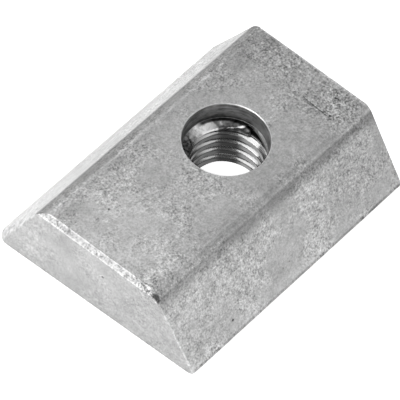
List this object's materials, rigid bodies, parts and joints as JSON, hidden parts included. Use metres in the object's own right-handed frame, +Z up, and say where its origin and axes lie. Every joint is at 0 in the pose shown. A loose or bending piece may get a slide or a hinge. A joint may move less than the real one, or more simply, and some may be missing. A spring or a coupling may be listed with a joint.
{
  "type": "slot nut",
  "caption": "Dovetail slot nut: a long sloped steel block with a threaded hole and a smooth lead-in off its middle, for bolting through a slot.",
  "frame": {"origin": "on the threaded hole's axis, at the nut's base", "axes": "+X along the nut towards the end nearer the hole, +Y towards the back flank, +Z up the hole, the way the bolt leaves"},
  "size_m": [0.0375, 0.0288, 0.0102],
  "materials": {
    "blasted_steel": "matt blasted and plated, pale grey"
  },
  "bodies": {
    "root": {"nut_body": "blasted_steel"}
  },
  "joints": []
}
